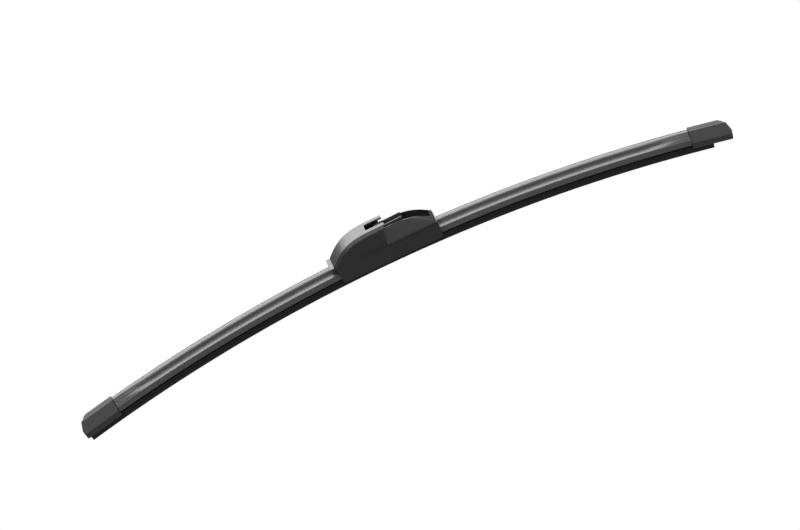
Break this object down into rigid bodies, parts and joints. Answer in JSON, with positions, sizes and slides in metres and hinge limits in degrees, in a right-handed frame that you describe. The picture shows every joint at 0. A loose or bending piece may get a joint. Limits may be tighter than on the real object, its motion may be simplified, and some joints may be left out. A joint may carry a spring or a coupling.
{
  "type": "wiper blade",
  "caption": "Arched beam wiper blade with a finned spoiler, end caps and a hooded centre connector whose clip takes a hooked wiper arm.",
  "frame": {"origin": "on the pivot rivet's axis, in the blade's middle plane, where the wiper arm's hook seats", "axes": "+X along the blade towards the arm, +Y across the blade, +Z away from the glass"},
  "size_m": [0.5474, 0.023, 0.0643],
  "materials": {
    "blade_rubber": "graphite-coated rubber, dull",
    "spring_steel": "rolled spring steel",
    "spoiler_rubber": "extruded elastomer, satin",
    "cap_plastic": "moulded plastic, satin",
    "stamped_steel": "stamped sheet steel",
    "rivet_steel": "plated steel",
    "connector_plastic": "moulded plastic, fine satin grain",
    "clip_plastic": "moulded plastic, satin"
  },
  "bodies": {
    "blade": {"wiper_rubber": "blade_rubber", "front_rail": "spring_steel", "rear_rail": "spring_steel", "left_spoiler": "spoiler_rubber", "right_spoiler": "spoiler_rubber", "left_end_cap": "cap_plastic", "right_end_cap": "cap_plastic", "left_rail_clip": "stamped_steel", "right_rail_clip": "stamped_steel", "base_bracket": "stamped_steel", "pivot_rivet": "rivet_steel", "rivet_washer": "rivet_steel", "trough_body": "connector_plastic", "cover": "connector_plastic"},
    "clip": {"hook_clip": "clip_plastic"}
  },
  "joints": [
    {"name": "arm_pivot", "type": "hinge", "parent": "blade", "child": "clip", "pos_m": [0, 0, 0], "axis": [0, 1, 0], "range_deg": [-15, 12]}
  ]
}
